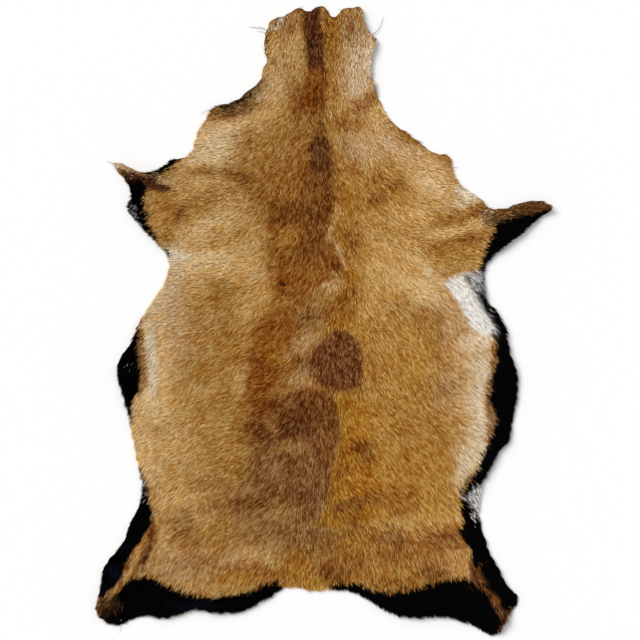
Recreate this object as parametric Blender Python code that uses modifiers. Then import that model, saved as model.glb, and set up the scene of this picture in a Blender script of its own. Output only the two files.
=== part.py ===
"""A short-haired sheepskin, spread flat with its hair side up.

It is one whole skin: a sheet of tanned leather that still carries its coat, opened
along the belly. The neck points toward +Y, the rump toward -Y, and the four short leg
flaps stand out at the sides. The solid holds the leather and the lying hair together.
Its underside is flat where it rests, and rises only under the folds that dried in.
Lengths in the tables are in millimetres, and the mesh is in metres.
"""
import math
import random

import bmesh
import bpy
import numpy as np
from mathutils import Vector, noise
from mathutils.geometry import delaunay_2d_cdt

MM = 0.001
NAME = "sheepskin"

# Thickness of the skin
LEATHER = 1.8          # the tanned leather alone
RIM_THICKNESS = 2.8    # leather and the thin last hair at the cut edge
RIM_SLOPE = 15.0       # the coat reaches its full depth this far in from the edge
LUMP_SIZE = 34.0       # how wide the uneven patches of the coat are
LUMP_HEIGHT = 1.3      # how far they stand over or under the mean depth

# Depth of the lying hair over the leather, down the length of the skin
COAT = (
    # along, depth
    (475, 4.6),
    (330, 5.2),
    (120, 6.0),
    (-180, 6.4),
    (-475, 6.8),
)

# How finely the shape is laid out
RIM_STEP = 8.0             # between the points of the edge
RING_INSETS = (3.5, 9.0)   # rows of points that follow the edge, further in each time
GRID_STEP = 15.0           # between the points of the middle
CURVE_STEPS = 24           # steps on the curve between two places of the edge

# The edge of the skin, clockwise from the neck as seen from above. Every stretch has
# its own table, and hair tufts of the size that TUFTS names stand out along it.
NECK_END = (
    # across, along
    (-34, 471),
    (-23, 466),
    (-3, 474),
    (7, 466),
    (9, 458),
    (19, 458),
    (24, 468),
    (57, 470),
)
RIGHT_NECK = (
    # across, along
    (62, 451),
    (74, 429),
    (80, 426),
    (72, 380),
    (102, 301),
)
RIGHT_SHOULDER = (
    # across, along
    (125, 285),
    (168, 253),
    (183, 252),
    (191, 245),
    (196, 220),
    (206, 204),
    (237, 183),
    (247, 171),
)
RIGHT_FORELEG = (
    # across, along
    (281, 172),
    (289, 176),
    (326, 181),
    (344, 170),
    (318, 150),
    (300, 132),
    (245, 84),
    (242, 50),
)
RIGHT_FLANK = (
    # across, along
    (249, 27),
    (257, 21),
    (274, -12),
    (278, -36),
    (292, -90),
    (282, -156),
    (278, -181),
    (263, -196),
    (253, -216),
    (236, -251),
    (238, -309),
)
RIGHT_HIND_LEG = (
    # across, along
    (278, -396),
    (293, -416),
    (279, -440),
    (261, -470),
    (252, -472),
    (221, -456),
)
RUMP = (
    # across, along
    (176, -444),
    (136, -446),
    (102, -439),
    (37, -405),
    (-23, -405),
    (-34, -400),
    (-64, -403),
    (-72, -409),
    (-117, -434),
    (-154, -439),
    (-191, -434),
)
LEFT_HIND_LEG = (
    # across, along
    (-243, -447),
    (-266, -442),
    (-315, -457),
    (-335, -446),
    (-342, -429),
    (-338, -411),
    (-328, -364),
    (-303, -332),
)
LEFT_FLANK = (
    # across, along
    (-293, -307),
    (-273, -257),
    (-283, -198),
    (-293, -144),
    (-310, -67),
    (-291, -32),
    (-270, 11),
    (-237, 63),
    (-236, 98),
)
LEFT_FORELEG = (
    # across, along
    (-251, 116),
    (-296, 170),
    (-291, 181),
    (-294, 203),
    (-316, 234),
    (-312, 239),
    (-264, 224),
    (-239, 234),
)
LEFT_SHOULDER = (
    # across, along
    (-228, 243),
    (-202, 249),
    (-189, 286),
    (-177, 303),
    (-169, 318),
    (-122, 338),
    (-117, 346),
    (-99, 358),
)
LEFT_NECK = (
    # across, along
    (-89, 386),
    (-84, 392),
    (-90, 400),
    (-87, 438),
    (-74, 456),
    (-64, 455),
    (-60, 460),
)
TUFTS = (
    # stretch, size of its hair tufts
    (NECK_END, 1.2),
    (RIGHT_NECK, 1.4),
    (RIGHT_SHOULDER, 1.8),
    (RIGHT_FORELEG, 1.4),
    (RIGHT_FLANK, 2.2),
    (RIGHT_HIND_LEG, 2.2),
    (RUMP, 2.4),
    (LEFT_HIND_LEG, 2.2),
    (LEFT_FLANK, 2.2),
    (LEFT_FORELEG, 1.6),
    (LEFT_SHOULDER, 2.2),
    (LEFT_NECK, 1.4),
)
TUFT_SEED = 7

# The folds that dried in. Each runs along its own line, as far to either side as
# its half width, and rises to the height given at each place of the line.
FOLDS = (
    # name, half width, places: across, along, height
    ("left foreleg, standing pleat", 17, ((-312, 236, 13), (-268, 221, 15), (-225, 200, 4))),
    ("left foreleg, back edge", 20, ((-297, 196, 5), (-278, 150, 7), (-243, 112, 3))),
    ("right foreleg, standing pleat", 19, ((338, 172, 13), (290, 163, 15), (225, 143, 5))),
    ("right foreleg, back edge", 22, ((312, 146, 7), (276, 112, 8), (247, 76, 3))),
    ("left hind leg, pleat", 24, ((-333, -430, 12), (-300, -385, 9), (-250, -318, 3))),
    ("right hind leg, pleat", 24, ((268, -452, 12), (245, -400, 9), (212, -335, 3))),
    ("left hind leg, outer edge", 16, ((-330, -372, 5), (-290, -305, 4))),
    ("right hind leg, outer edge", 16, ((280, -408, 5), (246, -330, 4))),
    ("left flank, flap", 24, ((-272, 4, 3), (-304, -68, 8), (-284, -150, 3))),
    ("left flank, ridge", 18, ((-262, -6, 4), (-266, -62, 6), (-258, -120, 3))),
    ("right flank, upper flap", 24, ((262, 14, 3), (282, -70, 8), (276, -130, 5))),
    ("right flank, lower flap", 22, ((272, -170, 6), (246, -222, 6), (232, -262, 3))),
    ("right armpit, pleat", 20, ((222, 62, 3), (250, 34, 5))),
    ("right shoulder, upper pleat", 15, ((186, 176, 3), (222, 170, 6), (258, 160, 4))),
    ("right shoulder, lower pleat", 17, ((146, 108, 2), (196, 122, 5), (238, 132, 4))),
    ("left shoulder, pleat", 16, ((-226, 200, 3), (-176, 192, 4), (-132, 196, 2))),
    ("neck, left pleat", 17, ((-70, 452, 7), (-66, 400, 5), (-52, 330, 2))),
    ("neck, middle pleat", 15, ((-4, 470, 8), (-2, 420, 5), (4, 340, 2))),
    ("neck, right edge", 18, ((58, 462, 8), (74, 410, 10), (76, 350, 6))),
    ("left shoulder, edge", 16, ((-160, 322, 4), (-98, 360, 6))),
    ("rump, left edge", 20, ((-250, -444, 3), (-160, -436, 6), (-84, -414, 3))),
    ("rump, right edge", 20, ((70, -422, 3), (140, -444, 6), (216, -452, 3))),
)

# The dry, brushed coat
COAT_COLOUR = (0.36, 0.20, 0.085, 1.0)
COAT_ROUGHNESS = 0.9


def start_empty():
    """Take away whatever the file opened with."""
    for thing in list(bpy.data.objects):
        bpy.data.objects.remove(thing, do_unlink=True)


def curve_between(before, start, end, after, steps):
    """Points of a smooth curve from start to end, with the neighbours giving its turns."""
    spans = [max((b - a).length, 1e-6) ** 0.5
             for a, b in ((before, start), (start, end), (end, after))]
    leaving = (start - before) / spans[0] - (end - before) / (spans[0] + spans[1])
    leaving = (leaving + (end - start) / spans[1]) * spans[1]
    arriving = (end - start) / spans[1] - (after - start) / (spans[1] + spans[2])
    arriving = (arriving + (after - end) / spans[2]) * spans[1]
    points = []
    for step in range(steps):
        t = step / steps
        points.append(start * (2 * t ** 3 - 3 * t ** 2 + 1)
                      + leaving * (t ** 3 - 2 * t ** 2 + t)
                      + end * (3 * t ** 2 - 2 * t ** 3)
                      + arriving * (t ** 3 - t ** 2))
    return points


def edge_line():
    """The whole edge as an evenly spaced closed line, each point with its tuft size."""
    places = [(Vector(place), tuft) for stretch, tuft in TUFTS for place in stretch]
    line = []
    for index, (start, tuft) in enumerate(places):
        before = places[index - 1][0]
        end = places[(index + 1) % len(places)][0]
        after = places[(index + 2) % len(places)][0]
        for point in curve_between(before, start, end, after, CURVE_STEPS):
            line.append((point, tuft))
    gaps = [(line[(i + 1) % len(line)][0] - line[i][0]).length for i in range(len(line))]
    count = round(sum(gaps) / RIM_STEP)
    pitch = sum(gaps) / count
    spaced, travelled, wanted = [], 0.0, 0.0
    for index, gap in enumerate(gaps):
        start, tuft = line[index]
        end = line[(index + 1) % len(line)][0]
        while wanted < travelled + gap and len(spaced) < count:
            spaced.append((start.lerp(end, (wanted - travelled) / gap), tuft))
            wanted += pitch
        travelled += gap
    return spaced


def outward(points, index):
    """The way out of the skin at one point of its clockwise edge."""
    way = points[(index + 1) % len(points)] - points[index - 1]
    return Vector((-way.y, way.x)).normalized()


def tufted(spaced):
    """Push every other point of the edge out and the rest in, by uneven amounts."""
    chance = random.Random(TUFT_SEED)
    points = [point for point, tuft in spaced]
    result = []
    for index, (point, tuft) in enumerate(spaced):
        side = 0.35 if index % 2 else -0.65
        push = tuft * side * chance.uniform(0.1, 1.6)
        result.append(point + outward(points, index) * push)
    return result


def distance_in(points, edge):
    """How far each point lies inside the edge; outside it, the number is negative."""
    spots = np.array([tuple(p) for p in points])
    start = np.array([tuple(p) for p in edge])
    end = np.roll(start, -1, axis=0)
    way = end - start
    along = ((spots[:, None] - start) * way).sum(2) / (way ** 2).sum(1)
    nearest = start + np.clip(along, 0, 1)[..., None] * way
    distance = np.sqrt(((spots[:, None] - nearest) ** 2).sum(2)).min(1)
    above = start[:, 1] > spots[:, 1:2]
    crosses = above != (end[:, 1] > spots[:, 1:2])
    rise = np.where(way[:, 1] == 0, 1e-9, way[:, 1])
    meets = start[:, 0] + (spots[:, 1:2] - start[:, 1]) / rise * way[:, 0]
    inside = (crosses & (spots[:, 0:1] < meets)).sum(1) % 2 == 1
    return np.where(inside, distance, -distance)


def ring_inside(edge, inset):
    """A row of points that follows the edge at one distance in, thinned where it bunches."""
    candidates = [edge[i] - outward(edge, i) * inset for i in range(len(edge))]
    depths = distance_in(candidates, edge)
    ring = []
    for point, depth in zip(candidates, depths):
        if depth < inset * 0.8:
            continue
        if all((point - other).length > RIM_STEP * 0.55 for other in ring):
            ring.append(point)
    return ring


def grid_inside(edge, inset):
    """Points in staggered rows over the middle, no nearer the edge than the inset."""
    low = [min(p[axis] for p in edge) for axis in (0, 1)]
    high = [max(p[axis] for p in edge) for axis in (0, 1)]
    row_gap = GRID_STEP * math.sqrt(3) / 2
    candidates = []
    for row in range(int((high[1] - low[1]) / row_gap) + 1):
        shift = GRID_STEP / 2 if row % 2 else 0.0
        for column in range(int((high[0] - low[0]) / GRID_STEP) + 1):
            candidates.append(Vector((low[0] + shift + column * GRID_STEP,
                                      low[1] + row * row_gap)))
    depths = distance_in(candidates, edge)
    return [point for point, depth in zip(candidates, depths) if depth > inset]


def fold_lift(points):
    """How high the leather stands off the floor at each point."""
    spots = np.array([tuple(p) for p in points])
    lift = np.zeros(len(spots))
    for name, half_width, places in FOLDS:
        best = np.zeros(len(spots))
        for start, end in zip(places, places[1:]):
            first, last = np.array(start[:2], float), np.array(end[:2], float)
            way = last - first
            along = np.clip(((spots - first) @ way) / (way @ way), 0, 1)
            distance = np.linalg.norm(spots - first - along[:, None] * way, axis=1)
            height = start[2] + (end[2] - start[2]) * along
            profile = np.cos(np.clip(distance / half_width, 0, 1) * math.pi / 2) ** 2
            best = np.maximum(best, height * profile)
        lift = np.maximum(lift, best)
    return lift


def coat_depth(along):
    """Depth of the lying hair at one distance along the skin."""
    rows = sorted(COAT)
    return float(np.interp(along, [row[0] for row in rows], [row[1] for row in rows]))


def thickness(point, depth):
    """Leather and hair together, thin at the edge and uneven over the middle."""
    full = LEATHER + coat_depth(point.y)
    slope = math.sin(min(max(depth / RIM_SLOPE, 0.0), 1.0) * math.pi / 2)
    lump = noise.noise(Vector((point.x / LUMP_SIZE, point.y / LUMP_SIZE, 0.0)))
    return RIM_THICKNESS + (full - RIM_THICKNESS + lump * LUMP_HEIGHT * 2) * slope


def coat_material():
    """Dry brown hair, with no shine."""
    material = bpy.data.materials.new("brown_hair")
    material.use_nodes = True
    shader = material.node_tree.nodes["Principled BSDF"]
    shader.inputs["Base Color"].default_value = COAT_COLOUR
    shader.inputs["Roughness"].default_value = COAT_ROUGHNESS
    shader.inputs["Metallic"].default_value = 0.0
    return material


def lay_out_skin():
    """The underside of the skin as one sheet of triangles, and its thickness at each point."""
    edge = tufted(edge_line())
    points = list(edge)
    for inset in RING_INSETS:
        points += ring_inside(edge, inset)
    points += grid_inside(edge, RING_INSETS[-1] + GRID_STEP * 0.6)
    border = [(i, (i + 1) % len(edge)) for i in range(len(edge))]
    flat, _, faces, *_ = delaunay_2d_cdt(points, border, [], 1, 1e-5)
    depths = np.maximum(distance_in(flat, edge), 0.0)
    lifts = fold_lift(flat)
    thicknesses = [thickness(point, depth) for point, depth in zip(flat, depths)]
    return flat, faces, lifts, thicknesses


def centre_of(points):
    """The middle of the box around flat points."""
    return Vector([(min(p[axis] for p in points) + max(p[axis] for p in points)) / 2
                   for axis in (0, 1)])


def make_sheepskin():
    """The skin as one closed solid, with its coat raised over the leather by Solidify."""
    flat, faces, lifts, thicknesses = lay_out_skin()
    middle = centre_of(flat)
    mesh = bpy.data.meshes.new(NAME)
    mesh.from_pydata([((p.x - middle.x) * MM, (p.y - middle.y) * MM, lift * MM)
                      for p, lift in zip(flat, lifts)], [], faces)
    sheet = bmesh.new()
    sheet.from_mesh(mesh)
    bmesh.ops.recalc_face_normals(sheet, faces=sheet.faces)
    if sum(face.normal.z for face in sheet.faces) < 0:
        bmesh.ops.reverse_faces(sheet, faces=sheet.faces)
    sheet.to_mesh(mesh)
    sheet.free()
    mesh.shade_smooth()
    mesh.materials.append(coat_material())
    skin = bpy.data.objects.new(NAME, mesh)
    group = skin.vertex_groups.new(name="thickness")
    greatest = max(thicknesses)
    for index, value in enumerate(thicknesses):
        group.add([index], value / greatest, "REPLACE")
    raised = skin.modifiers.new("coat over leather", "SOLIDIFY")
    raised.thickness = greatest * MM
    raised.offset = 1.0
    raised.vertex_group = group.name
    return skin


def main():
    start_empty()
    collection = bpy.data.collections.new("sheepskin parts")
    bpy.context.scene.collection.children.link(collection)
    collection.objects.link(make_sheepskin())


main()
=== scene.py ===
# %% [markdown]
# A short-haired sheepskin, laid out flat. On the real thing a thin sheet of tanned leather
# carries some hundreds of thousands of hairs, which all lie down and backward, so the eye sees
# strokes of colour and not a surface. The lesson builds it the same way round: first the
# leather, then a combing plan for the hair, then the hair itself, and last its markings.
# The solid that the frame brings is only the space that skin and hair fill together. It is
# read for its outline and its folds, and the finished pieces then stand for it.

# %% Load the frame
import math

import bmesh
import bpy
import numpy as np
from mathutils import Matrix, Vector
from mathutils.bvhtree import BVHTree
from mathutils.geometry import delaunay_2d_cdt


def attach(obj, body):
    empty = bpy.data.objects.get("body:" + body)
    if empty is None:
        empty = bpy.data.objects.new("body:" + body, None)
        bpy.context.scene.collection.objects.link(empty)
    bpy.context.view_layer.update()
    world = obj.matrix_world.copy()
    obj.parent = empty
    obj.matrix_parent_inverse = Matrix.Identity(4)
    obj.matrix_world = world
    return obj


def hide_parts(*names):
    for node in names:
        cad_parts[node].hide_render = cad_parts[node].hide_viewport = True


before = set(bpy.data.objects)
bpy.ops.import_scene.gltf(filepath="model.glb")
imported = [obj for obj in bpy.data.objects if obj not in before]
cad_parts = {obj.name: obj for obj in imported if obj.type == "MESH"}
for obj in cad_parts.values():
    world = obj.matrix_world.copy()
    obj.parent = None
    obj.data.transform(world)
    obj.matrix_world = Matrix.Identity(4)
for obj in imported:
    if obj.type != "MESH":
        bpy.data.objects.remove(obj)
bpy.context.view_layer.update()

MM = 0.001

# %% [markdown]
# The camera comes first, so that every later step is looked at through it. The skin is seen
# from straight above and from far away, which keeps the view free of perspective. A long lens
# does that: the height over the floor and the width of floor in view give its focal length.

# %% Camera
CAMERA_HEIGHT = 3.2
FLOOR_IN_VIEW = 0.960
VIEW_CENTRE = (-0.0050, 0.0009)
SENSOR_WIDTH = 36.0


def new_object(name, data):
    """A new object that holds some data, in the scene."""
    made = bpy.data.objects.new(name, data)
    bpy.context.scene.collection.objects.link(made)
    return made


lens = bpy.data.cameras.new("camera")
lens.sensor_width = SENSOR_WIDTH
lens.lens = SENSOR_WIDTH * CAMERA_HEIGHT / FLOOR_IN_VIEW
camera = new_object("camera", lens)
camera.location = (*VIEW_CENTRE, CAMERA_HEIGHT)
bpy.context.scene.camera = camera
print("camera:", round(lens.lens), "mm lens at", CAMERA_HEIGHT, "m")

# %% [markdown]
# Many steps ask the same two questions about flat places: how far in from the edge is it, and
# how far from a path. A third helper gives soft uneven patches, which later make the coat less
# regular. All of them answer for whole arrays at once, because the hairs are too many to be
# asked one by one.

# %% Measuring flat places
CLOUD_CELLS = (96, 88)
CLOUD_TURN = np.array([[0.8, -0.6], [0.6, 0.8]])
SHORTEST = 1e-6
LEAST_RISE = 1e-12


def smooth_step(low, high, values):
    """From 0 at low to 1 at high, with soft ends."""
    t = np.clip((values - low) / (high - low), 0, 1)
    return t * t * (3 - 2 * t)


def unit(arrows):
    """Flat arrows, each made one long."""
    return arrows / np.maximum(np.linalg.norm(arrows, axis=1), SHORTEST)[:, None]


def cross(first, second):
    """Twice the area between the arrows of each pair, positive where the second is to the left."""
    return first[:, 0] * second[:, 1] - first[:, 1] * second[:, 0]


def to_line(spots, start, end):
    """Distance of each spot to one straight line."""
    start, end = np.asarray(start, float), np.asarray(end, float)
    way = end - start
    along = np.clip((spots - start) @ way / (way @ way), 0, 1)
    return np.linalg.norm(spots - start - along[:, None] * way, axis=1)


def to_path(spots, path):
    """Distance of each spot to a path of straight lines."""
    return np.min([to_line(spots, a, b) for a, b in zip(path, path[1:])], axis=0)


def depth_inside(spots, border):
    """How far each spot lies inside a closed border. Outside, the number is negative."""
    border = np.asarray(border, float)
    distance = to_path(spots, np.vstack([border, border[:1]]))
    inside = np.zeros(len(spots), bool)
    for start, end in zip(border, np.roll(border, -1, axis=0)):
        crosses = (start[1] > spots[:, 1]) != (end[1] > spots[:, 1])
        rise = end[1] - start[1] or LEAST_RISE
        meets = start[0] + (spots[:, 1] - start[1]) / rise * (end[0] - start[0])
        inside ^= crosses & (spots[:, 0] < meets)
    return np.where(inside, distance, -distance)


def cloud(spots, size, seed):
    """Soft uneven patches over flat places, each about as wide as size, from -1 to 1."""
    wide, high = CLOUD_CELLS
    table = np.random.default_rng(seed).uniform(-1, 1, (wide + 1, high + 1))
    turned = spots @ CLOUD_TURN / size
    corner = np.floor(turned).astype(int)
    part_x, part_y = smooth_step(0, 1, turned - corner).T
    x, y = (corner % CLOUD_CELLS).T
    lower = table[x, y] * (1 - part_x) + table[x + 1, y] * part_x
    upper = table[x, y + 1] * (1 - part_x) + table[x + 1, y + 1] * part_x
    return lower * (1 - part_y) + upper * part_y


# %% [markdown]
# The frame's solid has an underside, a top and a narrow wall between them. Starting from the
# large flat face that rests on the floor, a flood across every edge that isn't sharp finds the
# whole underside, folds included. Its border is the outline of the skin.

# %% Read the solid
SHARP = math.radians(68)
WELD = 0.00001
LOOKS_DOWN = -0.99


def underside_of(solid):
    """The faces of the underside, found by flooding out from the largest face that looks down."""
    down = [face for face in solid.faces if face.normal.z < LOOKS_DOWN]
    start = max(down, key=lambda face: face.calc_area())
    found, waiting = {start}, [start]
    while waiting:
        face = waiting.pop()
        for edge in face.edges:
            for other in edge.link_faces:
                if other not in found and other.normal.angle(face.normal) < SHARP:
                    found.add(other)
                    waiting.append(other)
    return found


def border_of(faces):
    """The longest closed border of some faces, as flat points in order."""
    following = {}
    for face in faces:
        for loop in face.loops:
            if sum(other in faces for other in loop.edge.link_faces) == 1:
                following[loop.vert] = loop.link_loop_next.vert
    borders = []
    while following:
        vert = min(following, key=lambda vert: tuple(vert.co))
        border = []
        while vert in following:
            border.append(vert.co.to_2d())
            vert = following.pop(vert)
        borders.append(border)
    return max(borders, key=len)


solid = bmesh.new()
solid.from_mesh(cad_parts["sheepskin"].data)
bmesh.ops.remove_doubles(solid, verts=solid.verts, dist=WELD)
outline = np.array(border_of(underside_of(solid)))
if cross(outline, np.roll(outline, -1, axis=0)).sum() < 0:
    outline = outline[::-1]
solid_tree = BVHTree.FromBMesh(solid)
solid.free()

# %% [markdown]
# The leather is one sheet 1.8 mm thick. It could be cut from the solid itself, but its
# triangles are too coarse for creases, so a finer sheet is laid out inside the outline and
# dropped on the underside. It ends a little inside the outline, because the last hairs reach
# past the leather. Small creases that the solid leaves out are added from a table, as ridges
# that stand on the floor, and Solidify gives the sheet its thickness.

# %% The sheet of leather
LEATHER = 0.0018
SHEET_INSET = 0.0022
SHEET_RAGGED = 0.0012
RAGGED_SIZE = 6.5
DEPTH_KEPT = 0.75
SHEET_STEP = 0.0058
BORDER_STEP = 0.8 * SHEET_STEP
BORDER_GAP = 0.55 * SHEET_STEP
ONLY_INSIDE = 1
MERGED_UNDER = 1e-7
BELOW_FLOOR = -0.1
CREASES = (
    # half width, height, path: across, along, all in millimetres
    (9, 1.8, ((-38, 462), (-34, 410), (-30, 352))),
    (8, 1.6, ((24, 458), (26, 400), (30, 345))),
    (7, 1.2, ((48, 446), (50, 396))),
    (11, 1.6, ((-190, 262), (-150, 276), (-104, 296))),
    (10, 1.4, ((-204, 222), (-160, 228), (-120, 244))),
    (12, 1.8, ((120, 240), (160, 214), (196, 200))),
    (12, 1.6, ((150, 84), (200, 96), (240, 104))),
    (13, 1.6, ((-226, 72), (-196, 60), (-150, 58))),
    (12, 1.6, ((190, 58), (160, 84), (146, 112))),
    (14, 1.8, ((-262, -262), (-222, -282), (-180, -290))),
    (14, 1.8, ((204, -262), (176, -270), (140, -268))),
    (12, 1.8, ((-282, -398), (-236, -372), (-196, -334))),
    (12, 1.8, ((226, -402), (196, -372), (166, -330))),
    (16, 1.4, ((-120, -404), (-96, -352))),
    (16, 1.4, ((112, -404), (96, -350))),
    (18, 1.2, ((-250, -180), (-214, -120), (-210, -40))),
    (18, 1.2, ((238, -178), (206, -110), (204, -30))),
)


def inset_border(border, inset, step):
    """A closed row of points that follows a border a little way in, ragged as a cut hide is."""
    closed = np.vstack([border, border[:1]])
    gaps = np.linalg.norm(np.diff(closed, axis=0), axis=1)
    travelled = np.concatenate([[0], np.cumsum(gaps)])
    count = int(travelled[-1] / step)
    marks = np.arange(count) * (travelled[-1] / count)
    even = np.stack([np.interp(marks, travelled, closed[:, axis]) for axis in (0, 1)], 1)
    way = unit(np.roll(even, -2, axis=0) - np.roll(even, 2, axis=0))
    depth = inset + SHEET_RAGGED * cloud(even / MM, RAGGED_SIZE, 5)
    moved = even + np.stack([-way[:, 1], way[:, 0]], 1) * depth[:, None]
    return moved[depth_inside(moved, border) > depth * DEPTH_KEPT]


def staggered_rows(border, step, inset):
    """Points in staggered rows inside a border."""
    low, high = border.min(0), border.max(0)
    row_gap = step * math.sqrt(3) / 2
    rows = int((high[1] - low[1]) / row_gap) + 1
    columns = int((high[0] - low[0]) / step) + 1
    row, column = np.divmod(np.arange(rows * columns), columns)
    spots = np.stack([low[0] + (column + (row % 2) / 2) * step, low[1] + row * row_gap], 1)
    return spots[depth_inside(spots, border) > inset]


def crease_height(spots):
    """Height of the small creases at each flat place."""
    height = np.zeros(len(spots))
    for half_width, rise, path in CREASES:
        distance = to_path(spots, np.array(path) * MM)
        profile = np.cos(np.clip(distance / (half_width * MM), 0, 1) * math.pi / 2) ** 2
        height = np.maximum(height, rise * MM * profile)
    return height


def underside_height(spots):
    """Height of the solid's underside over each flat place."""
    heights = []
    for x, y in spots:
        hit = solid_tree.ray_cast(Vector((x, y, BELOW_FLOOR)), Vector((0, 0, 1)))[0]
        heights.append(hit.z if hit else 0.0)
    return np.array(heights)


sheet_border = inset_border(outline, SHEET_INSET, BORDER_STEP)
inner = staggered_rows(sheet_border, SHEET_STEP, BORDER_GAP)
seams = [(i, (i + 1) % len(sheet_border)) for i in range(len(sheet_border))]
laid, _, sheet_faces, *_ = delaunay_2d_cdt(
    [Vector(p) for p in np.vstack([sheet_border, inner])], seams, [], ONLY_INSIDE, MERGED_UNDER)
sheet_spots = np.array(laid)
sheet_height = underside_height(sheet_spots) + crease_height(sheet_spots)
print("leather:", len(sheet_spots), "points,", len(sheet_faces), "faces")


def sheet_mesh(name, spots, heights, faces):
    """A mesh of faces over flat places, with every face looking up."""
    mesh = bpy.data.meshes.new(name)
    mesh.from_pydata(np.column_stack([spots, heights]).tolist(), [], faces)
    form = bmesh.new()
    form.from_mesh(mesh)
    bmesh.ops.recalc_face_normals(form, faces=form.faces)
    if sum(face.normal.z for face in form.faces) < 0:
        bmesh.ops.reverse_faces(form, faces=form.faces)
    form.to_mesh(mesh)
    form.free()
    return mesh


def evaluated_mesh(made):
    """The shape that an object has by now, as a new mesh."""
    scene_now = bpy.context.evaluated_depsgraph_get()
    return bpy.data.meshes.new_from_object(made.evaluated_get(scene_now))


def work_in(made):
    """Work an object's modifiers into its mesh. They are then gone."""
    mesh = evaluated_mesh(made)
    made.modifiers.clear()
    made.data = mesh
    return mesh


leather = new_object("leather", sheet_mesh("leather", sheet_spots, sheet_height, sheet_faces))
thicken = leather.modifiers.new("thickness", "SOLIDIFY")
thicken.thickness = LEATHER
thicken.offset = 1.0
work_in(leather)
leather.data.shade_smooth()
print("leather solid:", len(leather.data.polygons), "faces")

# %% [markdown]
# Hair on a live animal lies backward from the spine and down the sides and legs, and a tanner
# leaves it so. The table is a combing plan: at each named place, which way the tips point and
# how long the hair is. Between the places the plan is mixed by nearness, and a slow cloud turns
# it a little, because no coat is combed evenly.

# %% Combing plan
COMBING = (
    # across, along, tips turned from straight back toward the right in degrees, length
    # The neck and the nape
    (-83, 413, -10, 6.5), (-12, 421, 0, 6.5), (52, 413, 8, 6.5), (-83, 349, -38, 7), (-47, 331, -25, 7),
    (-8, 316, 0, 7), (55, 331, 25, 7),
    # The shoulders and the withers
    (-147, 298, -95, 8), (-110, 286, -60, 8), (-65, 274, -40, 7.5), (93, 271, 50, 7.5), (145, 233, 60, 8),
    (190, 196, 75, 8), (-8, 233, 0, 7), (-50, 218, -25, 7), (48, 233, 35, 7.5),
    # The low shoulders and the forelegs
    (-177, 233, -88, 8), (-117, 218, -65, 8), (-200, 181, -80, 8), (-245, 158, -45, 7.5),
    (-282, 223, -85, 6), (198, 113, 88, 8), (295, 169, 88, 6.5),
    # The chest and the top of the back
    (145, 128, 65, 8.5), (93, 173, 50, 8), (-162, 128, -68, 8.5), (-207, 88, -80, 8.5),
    (-132, 68, -68, 8.5), (-27, 151, -10, 7), (33, 106, 20, 7.5), (-72, 113, -45, 7.5), (93, 83, 40, 8.5),
    (153, 61, 55, 9), (205, 31, 50, 10),
    # The back, the ribs and the flanks, down to the saddle
    (3, 31, -15, 7.5), (-50, 16, -40, 8), (-125, 1, -52, 9), (-207, 16, -62, 9.5), (-237, -59, -50, 10),
    (-162, -74, -50, 9.5), (-87, -74, -62, 8), (-2, -59, -20, 7), (33, -59, 10, 7), (82, -29, 42, 8.5),
    (145, -29, 40, 9.5), (205, -44, 40, 10),
    # The low back, ribs and flanks
    (232, -134, 55, 11), (145, -164, 42, 10), (-12, -164, -10, 8), (-80, -164, -55, 8.5),
    (-162, -179, -55, 10), (-245, -179, -55, 10.5), (63, -179, 40, 8.5),
    # The loin and the thighs
    (-20, -254, -8, 8.5), (-102, -284, -45, 9), (-200, -299, -50, 10), (70, -269, 35, 9),
    (160, -299, 40, 10),
    # The hind legs and the rump
    (-282, -404, -38, 9), (-215, -382, -35, 10), (-110, -374, -30, 9.5), (-12, -359, 0, 9),
    (85, -374, 12, 9.5), (160, -367, 18, 10), (250, -404, 28, 9),
    # The black flaps at the edge
    (-290, -74, -40, 8), (277, -104, 30, 8), (-290, -314, -30, 8), (235, -359, 25, 8),
)
COMBING_BLEND = 24.0
TURN_SIZE = 38.0
TURN_MOST = 0.22
FINE_SIZE = TURN_SIZE / 3
FINE_SHARE = 0.6


def combed(spots):
    """The way the tips point, as flat unit vectors, and the hair's length, at each place."""
    across, along, turned, length = np.array(COMBING).T
    angle = np.radians(turned)
    plan = np.stack([np.sin(angle), -np.cos(angle), length], 1)
    away = ((spots[:, None] / MM - np.stack([across, along], 1)) ** 2).sum(2)
    weight = 1 / (away + COMBING_BLEND ** 2) ** 2
    mixed = (weight[..., None] * plan).sum(1) / weight.sum(1)[:, None]
    turn = cloud(spots / MM, TURN_SIZE, 3) * TURN_MOST
    turn += cloud(spots / MM, FINE_SIZE, 4) * TURN_MOST * FINE_SHARE
    x, y = mixed[:, 0], mixed[:, 1]
    ways = np.stack([x * np.cos(turn) - y * np.sin(turn), x * np.sin(turn) + y * np.cos(turn)], 1)
    return unit(ways), mixed[:, 2] * MM


tips, lengths = combed(sheet_spots)
print("hair length in mm:", (lengths.min() / MM).round(1), "to", (lengths.max() / MM).round(1))

# %% [markdown]
# The hair grows from the upper face of the leather. A mesh of more than 200,000 triangles is
# hard to keep as a file, so the upper face is cut lengthwise into strips of equal area, and
# each strip grows its own piece of the coat. The combing plan rides along as two attributes.

# %% Strips of the upper face
STRIPS = ("left_flank", "left_side", "back", "right_side", "right_flank")
ROOT_SINK = 0.0002


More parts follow.
